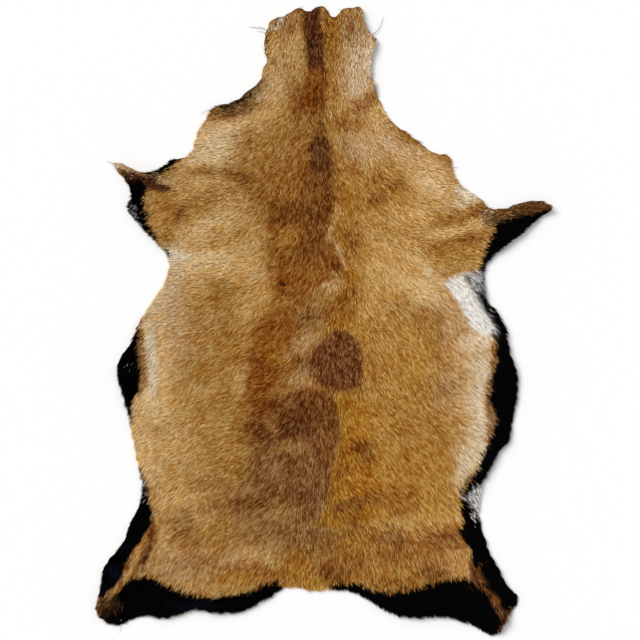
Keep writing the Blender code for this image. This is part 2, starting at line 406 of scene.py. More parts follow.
def strip_objects():
    """One mesh for each strip, with the combing plan on its points."""
    corners = np.array([list(face)[:3] for face in sheet_faces])
    places = sheet_spots[corners]
    across = places[:, :, 0].mean(1)
    areas = abs(cross(places[:, 1] - places[:, 0], places[:, 2] - places[:, 0])) / 2
    order = np.argsort(across)
    shares = np.cumsum(areas[order]) / areas.sum()
    strip_of = np.empty(len(across), int)
    strip_of[order] = np.minimum((shares * len(STRIPS)).astype(int), len(STRIPS) - 1)
    top = sheet_height + LEATHER - ROOT_SINK
    made = []
    for index, name in enumerate(STRIPS):
        used, renamed = np.unique(corners[strip_of == index], return_inverse=True)
        faces = renamed.reshape(-1, 3).tolist()
        mesh = sheet_mesh("hair_" + name, sheet_spots[used], top[used], faces)
        way = mesh.attributes.new("tips", "FLOAT_VECTOR", "POINT")
        way.data.foreach_set("vector", np.column_stack([tips[used], np.zeros(len(used))]).ravel())
        long = mesh.attributes.new("length", "FLOAT", "POINT")
        long.data.foreach_set("value", lengths[used])
        made.append(new_object("hair_" + name, mesh))
    print("upper face:", round(float(areas.sum()), 4), "square metres in", len(made), "strips")
    return made


strips = strip_objects()

# %% [markdown]
# Trees of nodes, for shapes and for finishes, are easiest to read as sums. The small class
# below wraps one socket of a tree. Python's own signs then add Math nodes, and one method adds
# any other node from its type, what goes into its sockets and its settings.

# %% Trees written as sums


def feed(made, sockets):
    """Link wires into a node's sockets, and set its other sockets to plain values."""
    for name, value in sockets.items():
        if isinstance(value, Wire):
            value.tree.links.new(value.socket, made.inputs[name])
        else:
            made.inputs[name].default_value = value


class Wire:
    """A socket of a node tree. Sums and products of wires add the nodes that work them out."""

    def __init__(self, tree, socket=None):
        self.tree = tree
        self.socket = socket

    def node(self, kind, sockets, output=0, **settings):
        """Add a node, and give the wire of one of its outputs."""
        made = self.tree.nodes.new(kind)
        for name, value in settings.items():
            setattr(made, name, value)
        feed(made, sockets)
        return Wire(self.tree, made.outputs[output])

    def maths(self, operation, first, second):
        """One Math node."""
        return self.node("ShaderNodeMath", {0: first, 1: second}, operation=operation)

    def __add__(self, other):
        return self.maths("ADD", self, other)

    def __sub__(self, other):
        return self.maths("SUBTRACT", self, other)

    def __rsub__(self, other):
        return self.maths("SUBTRACT", other, self)

    def __mul__(self, other):
        return self.maths("MULTIPLY", self, other)

    __radd__ = __add__
    __rmul__ = __mul__


def parts(wire, axes):
    """Some of a vector's three numbers, each as a wire."""
    return [wire.node("ShaderNodeSeparateXYZ", {0: wire}, axis) for axis in axes]


def noise(place, scale, detail, output="Fac"):
    """A noise texture over places."""
    return place.node("ShaderNodeTexNoise", {"Vector": place, "Scale": scale, "Detail": detail}, output)


# %% [markdown]
# One hair lock is a narrow blade of five points: two at the root, two half way and one at the
# tip, arched so that the tip comes down again. The tree scatters points over a strip, turns a
# blade at each point along the combing plan, leans it off the leather, and lets small tufts
# and single locks stray from the plan. Tufts come from a fine noise, so that neighbours stray
# together, as hair that has clung together does.

# %% The tree that grows the hair
BLADE_LENGTH = 0.01
MERGED_TIP = 0.000001
LEAN_LEAST, LEAN_LUCK, LEAN_TUFT = 0.35, 1.26, 1.6
ROLL_MOST = 0.65
YAW_MOST, YAW_TUFT = 0.17, 0.45
LENGTHS = (0.65, 1.15)
WIDTHS = (0.7, 1.3)
HAIR_INPUTS = (
    # name, kind of socket, value
    ("Hairs per square metre", "NodeSocketFloat", 690000.0),
    ("Hair width", "NodeSocketFloat", 0.00105),
    ("Lean", "NodeSocketFloat", 0.33),
    ("Arch", "NodeSocketFloat", 0.09),
    ("Tuft size", "NodeSocketFloat", 0.0026),
    ("Seed", "NodeSocketInt", 1),
    ("Finish", "NodeSocketMaterial", None),
)


def vector(x, y, z):
    """Three wires as one."""
    return x.node("ShaderNodeCombineXYZ", {"X": x, "Y": y, "Z": z})


def keep(points, name, kind, value):
    """Points that keep a value under a name, which outlasts the tree."""
    return points.node("GeometryNodeStoreNamedAttribute", {
        "Geometry": points, "Name": name, "Value": value}, data_type=kind)


def given(start, name, kind):
    """What the points already keep under a name."""
    return start.node("GeometryNodeInputNamedAttribute", {"Name": name}, data_type=kind)


def between(seed, low, high):
    """A number for each point, evenly between low and high."""
    return seed.node("FunctionNodeRandomValue", {2: low, 3: high, 8: seed}, 1, data_type="FLOAT")


def blade(start, width, arch):
    """One lock of hair along +Y from the origin, ten millimetres long, with its place along it."""
    grid = start.node("GeometryNodeMeshGrid", {
        "Size X": width, "Size Y": BLADE_LENGTH, "Vertices X": 2, "Vertices Y": 3})
    x, y = parts(start.node("GeometryNodeInputPosition", {}), "XY")
    along = y * (1 / BLADE_LENGTH) + 0.5
    arched = along * (1 - along) * arch * (4 * BLADE_LENGTH)
    place = vector(x * (1 - along * along), y + BLADE_LENGTH / 2, arched)
    shaped = start.node("GeometryNodeSetPosition", {
        "Geometry": keep(grid, "along", "FLOAT", along), "Position": place})
    return start.node("GeometryNodeMergeByDistance", {"Geometry": shaped, "Distance": MERGED_TIP})


def hair_tree():
    """The node group that grows a strip's hair."""
    tree = bpy.data.node_groups.new("grow hair", "GeometryNodeTree")
    tree.interface.new_socket("Geometry", in_out="INPUT", socket_type="NodeSocketGeometry")
    for name, kind, value in HAIR_INPUTS:
        socket = tree.interface.new_socket(name, in_out="INPUT", socket_type=kind)
        if value is not None:
            socket.default_value = value
    tree.interface.new_socket("Geometry", in_out="OUTPUT", socket_type="NodeSocketGeometry")
    start = Wire(tree)
    asked = tree.nodes.new("NodeGroupInput")
    ask = {socket.name: Wire(tree, socket) for socket in asked.outputs if socket.name}
    seed = ask["Seed"]
    points = start.node("GeometryNodeDistributePointsOnFaces", {
        "Mesh": ask["Geometry"], "Density": ask["Hairs per square metre"], "Seed": seed}, "Points")
    normal = Wire(tree, points.socket.node.outputs["Normal"])
    spot = start.node("GeometryNodeInputPosition", {})
    luck = between(seed + 1, 0.0, 1.0)
    tuft = noise(spot, start.maths("DIVIDE", 1.0, ask["Tuft size"]), 1.0, "Color")
    stray_lean, stray_turn, shade = parts(tuft, "XYZ")
    points = keep(points, "root", "FLOAT_VECTOR", spot)
    points = keep(points, "luck", "FLOAT", luck)
    points = keep(points, "tuft", "FLOAT", shade)
    upright = start.node("FunctionNodeAlignRotationToVector", {"Vector": normal}, axis="Z")
    combed_turn = start.node("FunctionNodeAlignRotationToVector", {
        "Rotation": upright, "Vector": given(start, "tips", "FLOAT_VECTOR")}, axis="Y", pivot_axis="Z")
    pitch = ask["Lean"] * (LEAN_LEAST + LEAN_LUCK * luck * luck + (stray_lean - 0.5) * LEAN_TUFT)
    roll = between(seed + 2, -ROLL_MOST, ROLL_MOST)
    yaw = between(seed + 3, -YAW_MOST, YAW_MOST) + (stray_turn - 0.5) * YAW_TUFT
    stray = start.node("FunctionNodeEulerToRotation", {0: vector(pitch, roll, yaw)})
    turned = start.node("FunctionNodeRotateRotation", {
        "Rotation": combed_turn, "Rotate By": stray}, rotation_space="LOCAL")
    grown = between(seed + 4, *LENGTHS) * given(start, "length", "FLOAT") * (1 / BLADE_LENGTH)
    locks = start.node("GeometryNodeInstanceOnPoints", {
        "Points": points, "Instance": blade(start, ask["Hair width"], ask["Arch"]),
        "Rotation": turned, "Scale": vector(between(seed + 5, *WIDTHS), grown, grown)})
    real = start.node("GeometryNodeRealizeInstances", {"Geometry": locks})
    done = start.node("GeometryNodeSetMaterial", {"Geometry": real, "Material": ask["Finish"]})
    feed(tree.nodes.new("NodeGroupOutput"), {"Geometry": done})
    return tree


grow_hair = hair_tree()
print("hair tree:", len(grow_hair.nodes), "nodes")

# %% [markdown]
# The finishes come before the hair grows, because the tree sets one of them. A hair is dark at its
# root and light toward its tip, and no two have quite the same colour. So the hair's finish
# takes the coat's colour at the root, and shades it along the lock, from tuft to tuft and from
# lock to lock; the tuft-to-tuft and lock-to-lock part is partly the hairs' own and partly painted
# shade and highlight of clumped hair. Under the hair the leather is painted darker still, as
# shade between the locks, and its flesh side is pale suede.

# %% Finishes
ROOT_LIGHT, TIP_LIGHT = 0.46, 0.80
DARK_LOCK, LIGHT_LOCK = 0.60, 1.14
TUFT_DARK, TUFT_LIGHT = 0.76, 0.48
# The leather under the hair: the coat's colour darkened, painted shade in the gaps between the locks.
UNDER_SHADE_DARK, UNDER_SHADE_LIGHT = 0.16, 0.24
FLESH_COLOUR = (0.60, 0.50, 0.38, 1.0)
FLESH_SHADE = (0.44, 0.34, 0.24, 1.0)


def new_finish(name):
    """A material with only a Principled shader, and the wire that starts its tree."""
    finish = bpy.data.materials.new(name)
    finish.use_nodes = True
    return finish, finish.node_tree.nodes["Principled BSDF"], Wire(finish.node_tree)


def stored(start, name, output="Fac"):
    """What an attribute of the mesh holds."""
    return start.node("ShaderNodeAttribute", {}, output, attribute_name=name)


def coat_times(start, amount):
    """The coat's own colour made lighter or darker by an amount that varies."""
    coat = stored(start, "coat", "Color")
    return start.node("ShaderNodeVectorMath", {0: coat, "Scale": amount}, operation="SCALE")


def hair_finish():
    """Lying hair: dark roots, light tips, and no two locks alike, partly as painted shade and highlight.
    """
    finish, shader, start = new_finish("hair")
    along, luck, tuft = (stored(start, name) for name in ("along", "luck", "tuft"))
    lock_light = DARK_LOCK + LIGHT_LOCK * luck * luck
    light = (ROOT_LIGHT + TIP_LIGHT * along) * lock_light * (TUFT_DARK + TUFT_LIGHT * tuft)
    feed(shader, {"Base Color": coat_times(start, light), "Roughness": 0.66 - 0.12 * luck,
                  "Specular IOR Level": 0.03})
    return finish


def shaded_roots_finish():
    """The hair side of the leather, seen only between the locks: the coat's colour darkened as painted
    shade.
    """
    finish, shader, start = new_finish("shaded_hair_roots")
    grain = noise(start.node("ShaderNodeTexCoord", {}, "Object"), 900.0, 2.0)
    feed(shader, {"Base Color": coat_times(start, UNDER_SHADE_DARK + UNDER_SHADE_LIGHT * grain),
                  "Roughness": 0.9, "Specular IOR Level": 0.15})
    return finish


def flesh_finish():
    """The suede of the flesh side and the cut edge."""
    finish, shader, start = new_finish("flesh_side")
    place = start.node("ShaderNodeTexCoord", {}, "Object")
    blotch, nap = noise(place, 24.0, 5.0), noise(place, 1400.0, 3.0)
    colour = start.node("ShaderNodeMix", {
        0: 0.7 * blotch + 0.3 * nap, 6: FLESH_COLOUR, 7: FLESH_SHADE}, 2, data_type="RGBA")
    bump = start.node("ShaderNodeBump", {
        "Strength": 0.35, "Distance": 0.0006, "Height": nap + 0.6 * blotch})
    feed(shader, {"Base Color": colour, "Normal": bump, "Roughness": 0.88})
    return finish


hair_look, shaded_roots_look, flesh_look = hair_finish(), shaded_roots_finish(), flesh_finish()
print("finishes:", hair_look.name, shaded_roots_look.name, flesh_look.name)

# %% [markdown]
# The markings are what makes this skin one animal's. They are drawn as three short
# kinds of shape, each a row of a table: soft round patches, stripes along a path, and areas
# with a border. The order counts, because each row is laid over those before it. A slow cloud
# moves every border a little, and each lock then takes the colour of the place where it shows,
# so a border between two colours ends in locks and not in a line.
# Some of the lighter and darker patches also paint light and shade: the brightness that the lie of the
# hair takes from the lamp.

# %% The coat's colours
COLOURS = {
    # name: red, green, blue of daylight on the lying hair, 0 to 255
    "tan": (175, 121, 60),
    "pale tan": (234, 175, 106),
    "sand": (250, 204, 142),
    "wheat": (214, 164, 113),
    "honey": (162, 105, 37),
    "gold": (153, 93, 23),
    "orange": (156, 91, 17),
    "brown": (126, 72, 24),
    "rust": (124, 62, 15),
    "umber": (98, 53, 18),
    "saddle": (98, 54, 25),
    "dark umber": (66, 32, 15),
    "grey brown": (122, 81, 42),
    "smoke": (68, 48, 31),
    "cream": (252, 220, 180),
    "bone": (232, 206, 172),
    "white": (254, 245, 234),
    "silver": (178, 174, 172),
    "blue sheen on black": (6, 8, 20),
    "black": (0, 0, 0),
}

# %% [markdown]
# Each marking is a colour, a strength and a rule that says how much of a place it covers, in
# millimetres across and along the skin. Patches wander loosely with the cloud that moves the
# borders, while stripes and areas stay tight to where they are drawn.

# %% Kinds of marking


def turned_about(spots, across, along, turn):
    """Flat places as seen from a centre, turned by an angle in degrees."""
    angle = math.radians(turn)
    x, y = (spots - (across, along)).T
    return x * math.cos(angle) + y * math.sin(angle), y * math.cos(angle) - x * math.sin(angle)


def spot(colour, strength, across, along, half_x, half_y, turn=0, soft=0.8):
    """A round patch, whose softness is a share of its size."""
    def cover(spots):
        x, y = turned_about(spots, across, along, turn)
        return 1 - smooth_step(1 - soft, 1 + soft, np.hypot(x / half_x, y / half_y))
    return colour, strength, "loose", cover


def stripe(colour, strength, soft, half_width, *path):
    """A line of hair along a path."""
    def cover(spots):
        return 1 - smooth_step(half_width - soft, half_width + soft, to_path(spots, path))
    return colour, strength, "tight", cover


def area(colour, strength, soft, *border):
    """All that lies inside a border."""
    def cover(spots):
        return smooth_step(-soft, soft, depth_inside(spots, border))
    return colour, strength, "tight", cover


# %% [markdown]
# The back comes first, from its widest bands of brown down to its small patches. A dark line
# runs down it from the withers, a crisp dark patch lies over its middle, and below that a sharp
# border parts brown hair from orange.

# %% Markings: back
BACK = (
    spot("honey", 0.75, -32, -44, 99, 360, 0, 0.5), spot("rust", 0.35, -32, 143, 63, 120, 0, 0.5),
    spot("brown", 0.4, -32, 128, 63, 120, 0, 0.5), spot("brown", 0.6, -50, -119, 75, 135, 0, 0.5),
    spot("grey brown", 0.75, -59, -287, 81, 75, 0, 0.7), spot("honey", 0.55, 85, -239, 75, 105, 0, 0.7),
    spot("gold", 0.55, 43, 91, 24, 105, 0, 0.7),
    # Withers and the top of the back
    spot("umber", 0.45, -26, 316, 21, 36), spot("brown", 0.45, -38, 256, 30, 39),
    area("umber", 0.9, 4.5, (-20, 272), (-2, 278), (13, 259), (18, 229), (12, 205), (-11, 206),
        (-21, 232)),
    spot("dark umber", 0.75, -6, 247, 15, 28.5, 0, 0.6), spot("umber", 0.7, -6, 178, 24, 60, 0, 0.6),
    spot("umber", 0.55, -47, 160, 45, 18, 0, 0.7), spot("umber", 0.5, -20, 106, 39, 19.5, 0, 0.7),
    spot("rust", 0.55, -41, 67, 36, 24, 0, 0.7), spot("honey", 0.7, -53, 119, 19.5, 13.5, 0, 0.7),
    spot("umber", 0.6, 22, 82, 10.5, 22.5, -20, 0.6), spot("umber", 0.45, 45, 121, 13.5, 30, 0, 0.7),
    spot("brown", 0.55, 40, 31, 21, 21, 0, 0.7),
    stripe("pale tan", 0.6, 4.5, 4.5, (22, 172), (15, 142), (7, 124)),
    stripe("wheat", 0.7, 3.8, 3, (16, 121), (25, 103), (34, 79)),
    spot("wheat", 0.6, 13, 52, 15, 13.5, 30), spot("tan", 0.5, -2, 37, 21, 13.5, 50),
    spot("dark umber", 0.9, -62, 53, 5.2, 3.8, 0, 0.6),
    # The middle of the back
    spot("rust", 0.75, -71, -23, 30, 33, 30, 0.7), spot("rust", 0.8, -92, -82, 22.5, 36, 0, 0.6),
    spot("gold", 0.7, -74, -47, 12, 21, 40, 0.7), spot("gold", 0.55, -90, 31, 13.5, 24, 0, 0.7),
    spot("grey brown", 0.7, -17, 4, 21, 13.5, 45), spot("wheat", 0.55, -29, -35, 27, 15, 40),
    spot("wheat", 0.55, -27, -88, 21, 16.5),
    stripe("pale tan", 0.35, 6, 4.5, (-23, -23), (-38, -38), (-59, -62)),
    spot("umber", 0.5, -35, -53, 12, 6), spot("grey brown", 0.6, -27, -68, 12, 12),
    spot("gold", 0.6, 22, -5, 9, 6, 0, 0.7),
    area("saddle", 0.92, 4.5, (21, -13), (37, -17), (51, -31), (57, -49), (60, -77), (58, -104),
        (34, -107), (15, -109), (1, -98), (-17, -83), (-23, -68), (-12, -44), (6, -23)),
    # The low back, whose right border is sharp
    area("saddle", 0.7, 4.5, (12, -109), (16, -127), (22, -142), (27, -161), (25, -187), (19, -206),
        (10, -223), (9, -247), (4, -269), (-11, -293), (-50, -269), (-59, -224), (-80, -188),
        (-101, -173), (-107, -149), (-92, -122), (-57, -113), (-20, -107)),
    spot("tan", 0.4, -9, -83, 10.5, 9), spot("umber", 0.6, -17, -131, 27, 18, 0, 0.6),
    spot("dark umber", 0.5, -39, -166, 24, 13.5, -10, 0.7), spot("umber", 0.6, -77, -146, 24, 18),
    spot("rust", 0.6, -92, -131, 21, 12, 0, 0.7), spot("umber", 0.75, -102, -173, 22.5, 18, 0, 0.7),
    spot("tan", 0.6, -77, -158, 9, 12), spot("tan", 0.75, -48, -190, 21, 9, -10, 0.7),
    spot("grey brown", 0.75, -83, -230, 33, 39, 0, 0.7),
    spot("umber", 0.6, -38, -227, 22.5, 13.5, 0, 0.7), spot("grey brown", 0.65, -23, -257, 27, 45),
    spot("umber", 0.65, -111, -272, 27, 13.5, 10, 0.7), spot("brown", 0.5, -164, -275, 24, 9, 5),
    spot("umber", 0.4, -83, -263, 15, 12), spot("tan", 0.55, -65, -287, 24, 12, 20),
    # The rump
    spot("grey brown", 0.7, -5, -332, 51, 24, 0, 0.7), spot("brown", 0.55, -32, -347, 30, 15),
    spot("gold", 0.6, 43, -338, 30, 27), spot("pale tan", 0.45, -98, -352, 36, 13.5, -10),
    spot("rust", 0.65, -89, -379, 30, 12), spot("gold", 0.7, -44, -368, 18, 18),
    spot("brown", 0.6, 10, -374, 27, 18), spot("gold", 0.75, -20, -392, 21, 9),
    spot("rust", 0.6, 49, -380, 27, 15), spot("umber", 0.75, 13, -379, 18, 10.5),
    # The orange patch beside the sharp border
    area("orange", 0.6, 7.5, (18, -112), (49, -113), (73, -149), (91, -209), (103, -269), (73, -302),
        (10, -305), (-2, -290), (9, -269), (13, -247), (15, -224), (24, -208), (31, -188), (33, -161),
        (27, -140), (21, -125)),
    spot("gold", 0.5, 43, -131, 21, 18), spot("umber", 0.85, 58, -188, 18, 10.5, 0, 0.6),
    spot("umber", 0.75, 66, -206, 12, 10.5, 0, 0.6), spot("brown", 0.65, 31, -224, 10.5, 12, 0, 0.7),
    spot("umber", 0.85, 82, -265, 16.5, 12, 0, 0.6), spot("umber", 0.8, 46, -275, 22.5, 10.5, 10, 0.6),
    spot("umber", 0.5, 22, -286, 12, 7.5, 0, 0.7), spot("orange", 0.6, 33, -302, 33, 9),
)
print("markings: back:", len(BACK))

# %% [markdown]
# The neck has a dark line down its middle, gold beside it and paler sides. At its torn front
# edge the pale cut edge of the leather and a few pale threads show, with painted shadow as a dark
# line beside the cut, all drawn as narrow stripes.

# %% Markings: neck
NECK = (
    spot("tan", 0.8, -59, 406, 27, 69, 0, 0.6), spot("pale tan", 0.5, -62, 391, 21, 51),
    spot("grey brown", 0.35, -53, 445, 18, 15), spot("wheat", 0.9, 51, 388, 25.5, 69, 0, 0.6),
    spot("bone", 0.3, 55, 373, 18, 45), spot("grey brown", 0.55, 43, 433, 18, 21),
    spot("honey", 0.8, 12, 427, 12, 48, 0, 0.6), spot("brown", 0.4, 12, 433, 9, 33, 0, 0.7),
    spot("gold", 0.5, 9, 430, 7.5, 27, 0, 0.6),
    stripe("umber", 0.85, 3.8, 15, (-20, 478), (-15, 427), (-12, 388), (-9, 352)),
    stripe("dark umber", 0.85, 3.8, 10.5, (-20, 478), (-15, 427), (-11, 376)),
    stripe("rust", 0.8, 9, 15, (-11, 364), (-15, 325)),
    stripe("umber", 0.65, 6, 7.5, (-5, 334), (-2, 286)), spot("rust", 0.45, -35, 334, 21, 24),
    spot("brown", 0.6, 64, 326, 24, 12, 25), spot("brown", 0.5, 40, 295, 24, 13.5, 20),
    spot("pale tan", 0.7, 85, 308, 15, 21, -30), spot("pale tan", 0.6, -83, 319, 21, 18),
    spot("wheat", 0.6, -77, 364, 18, 21),
    stripe("cream", 0.6, 4.5, 4.5, (79, 436), (70, 406), (69, 382), (78, 355)),
    stripe("umber", 0.55, 2.2, 1.8, (-92, 391), (-77, 388), (-60, 377)),
    stripe("black", 0.75, 1.5, 2, (79, 349), (91, 325), (103, 304)),
    stripe("brown", 0.5, 2.2, 2, (-41, 470), (-8, 473), (7, 463)),
    stripe("brown", 0.45, 2.2, 2.2, (25, 467), (40, 451), (43, 430)),
    spot("umber", 0.6, -83, 436, 6, 7.5, 0, 0.7),
    # Painted shadow: a dark line beside the torn cut edge of the leather.
    stripe("umber", 0.8, 1.5, 1.5, (-63, 461), (-66, 451), (-74, 439)),
    stripe("white", 0.95, 1.2, 1.5, (-59, 461), (-63, 451), (-69, 440)),
    stripe("cream", 0.8, 1.5, 1.5, (-90, 434), (-80, 439), (-68, 440)),
)
print("markings: neck:", len(NECK))

# %% [markdown]
# The left shoulder, foreleg and flank are pale and golden in turn. Along the ridge inside the
# black flap a pale stripe paints the highlight that the ridge catches, and a dark stripe on its
# outer side paints its shade. The brown of the hind leg is drawn as stripes that run down it as
# the hair does.

# %% Markings: left side
LEFT_SIDE = (
    spot("pale tan", 0.9, -164, 268, 39, 36, 20, 0.6), spot("pale tan", 0.7, -119, 298, 39, 13.5, 15),
    spot("sand", 0.95, -162, 263, 31.5, 24, 25), spot("brown", 0.45, -119, 260, 22.5, 15, -20, 0.7),
    spot("tan", 0.5, -104, 271, 15, 15), spot("grey brown", 0.6, -131, 313, 36, 10.5, 12, 0.7),
    spot("brown", 0.65, -110, 205, 36, 13.5, -35), spot("brown", 0.45, -155, 223, 33, 7.5, -12),
    spot("umber", 0.45, -131, 223, 18, 7.5, -20), spot("tan", 0.45, -128, 241, 21, 15, -20),
    spot("sand", 0.6, -182, 244, 30, 10.5, 10, 0.7), spot("pale tan", 0.65, -185, 208, 36, 9, -8),
    spot("honey", 0.3, -203, 181, 45, 15, -5), spot("tan", 0.6, -155, 178, 24, 15),
    spot("gold", 0.6, -239, 158, 24, 36, -20), spot("pale tan", 0.4, -248, 148, 12, 24, -20),
    spot("brown", 0.7, -215, 163, 9, 24, -12, 0.7), spot("umber", 0.4, -213, 157, 6, 16.5, -12),
    spot("pale tan", 0.8, -164, 142, 51, 18, 14), spot("sand", 0.45, -173, 142, 30, 10.5, 14),
    spot("honey", 0.5, -137, 127, 27, 13.5), spot("pale tan", 0.9, -167, 88, 63, 28.5, 5, 0.7),
    spot("sand", 0.5, -176, 91, 39, 13.5, 5), spot("cream", 0.45, -224, 67, 21, 33, -30),
    spot("honey", 0.5, -176, 112, 30, 7.5, 10), spot("pale tan", 0.6, -116, 85, 21, 27),
    spot("honey", 0.65, -161, 34, 27, 21, 0, 0.7), spot("brown", 0.35, -158, 44, 15, 12),
    spot("pale tan", 0.55, -113, 22, 19.5, 27), spot("wheat", 0.75, -233, 4, 30, 45, -25, 0.7),
    spot("honey", 0.5, -131, -35, 24, 27), spot("brown", 0.35, -143, -23, 15, 6),
    spot("wheat", 0.55, -221, -53, 24, 27), spot("honey", 0.5, -185, -68, 30, 18, 15),
    spot("honey", 0.4, -146, -107, 21, 24), spot("pale tan", 0.55, -125, -89, 12, 21),
    spot("pale tan", 0.65, -233, -125, 33, 33), spot("honey", 0.4, -197, -137, 24, 15, 15),
    spot("pale tan", 0.6, -236, -188, 42, 30), spot("sand", 0.55, -257, -128, 18, 18),
    spot("sand", 0.5, -272, -179, 13.5, 42), spot("honey", 0.45, -146, -194, 24, 36),
    spot("brown", 0.4, -257, -164, 15, 9), spot("brown", 0.4, -173, -248, 24, 12, 20),
    spot("pale tan", 0.55, -215, -269, 33, 18), spot("grey brown", 0.4, -209, -302, 24, 21),
    spot("umber", 0.4, -204, -307, 6, 12), spot("brown", 0.4, -239, -299, 13.5, 18),
    spot("honey", 0.4, -161, -311, 30, 18), spot("wheat", 0.5, -209, -368, 51, 21, -5),
    spot("grey brown", 0.25, -221, -374, 45, 21), spot("brown", 0.8, -152, -365, 24, 15),
    spot("brown", 0.45, -197, -361, 18, 12), spot("brown", 0.45, -206, -329, 24, 9),
    spot("wheat", 0.45, -137, -359, 27, 10.5, 20), spot("honey", 0.7, -128, -386, 27, 12),
    spot("pale tan", 0.5, -179, -290, 21, 13.5), spot("pale tan", 0.55, -99, 128, 15, 22.5),
    spot("pale tan", 0.65, -93, 52, 15, 22.5), spot("pale tan", 0.5, -239, -287, 15, 19.5),
    spot("wheat", 0.65, -93, 338, 13.5, 12), spot("pale tan", 0.5, -249, -331, 13.5, 19.5, -20),
    spot("honey", 0.55, -222, -112, 16.5, 16.5), spot("cream", 0.5, -248, 26, 13.5, 22.5, -30),
    spot("pale tan", 0.6, -200, 115, 19.5, 13.5), spot("brown", 0.5, -164, -286, 19.5, 12),
    spot("sand", 0.5, -254, -230, 13.5, 18), spot("pale tan", 0.5, -141, 178, 21, 13.5),
    spot("pale tan", 0.6, -209, 191, 19.5, 12), spot("cream", 0.4, -221, 107, 16.5, 12),
    spot("cream", 0.45, -249, -10, 10.5, 15), spot("pale tan", 0.5, -227, -241, 15, 19.5),
    spot("pale tan", 0.45, -189, 46, 16.5, 19.5), spot("tan", 0.45, -93, 211, 13.5, 19.5),
    spot("tan", 0.5, -45, 355, 12, 21), spot("tan", 0.45, -38, 281, 15, 18),
    spot("pale tan", 0.5, -102, 290, 15, 12), spot("tan", 0.6, -59, 238, 18, 27),
    spot("wheat", 0.45, -96, 341, 13.5, 12),
    # Painted shade: a dark line on the outer side of the flank ridge.
    stripe("grey brown", 0.85, 3.8, 5.2, (-276, -5), (-275, -44), (-273, -104)),
    stripe("sand", 0.7, 4.5, 4.5, (-234, 85), (-246, 46), (-270, 4)),
    stripe("sand", 0.65, 9, 6, (-248, -38), (-243, -77), (-249, -116)),
    # More painted shade along the outer side of the flank ridge.
    stripe("umber", 0.5, 3, 2.2, (-275, -20), (-270, -53), (-267, -89)),
    stripe("pale tan", 0.7, 7.5, 10.5, (-245, 4), (-240, -59), (-240, -113)),
    # Painted highlight: the pale line that the flank ridge catches.
    stripe("sand", 0.95, 4.5, 9, (-264, -8), (-260, -35), (-257, -62), (-255, -95), (-263, -113)),
    stripe("cream", 0.95, 3, 5.2, (-260, -23), (-257, -62), (-255, -107)),
    stripe("umber", 0.5, 2.2, 1.5, (-275, -101), (-269, -113), (-276, -122)),
    stripe("pale tan", 0.75, 9, 13.5, (-278, -125), (-272, -173), (-263, -218)),
    stripe("brown", 0.8, 4.5, 12, (-257, -320), (-284, -362), (-326, -425)),
    stripe("pale tan", 0.7, 3.8, 3.8, (-275, -341), (-284, -362), (-299, -389)),
    stripe("dark umber", 0.8, 3, 2.4, (-255, -302), (-261, -338), (-273, -374)),
    stripe("umber", 0.75, 3, 3, (-287, -359), (-308, -395), (-329, -425)),
    stripe("pale tan", 0.6, 3, 2.2, (-299, -380), (-317, -407), (-330, -425)),
    spot("dark umber", 0.7, -324, -431, 12, 18, -30),
)
print("markings: left side:", len(LEFT_SIDE))
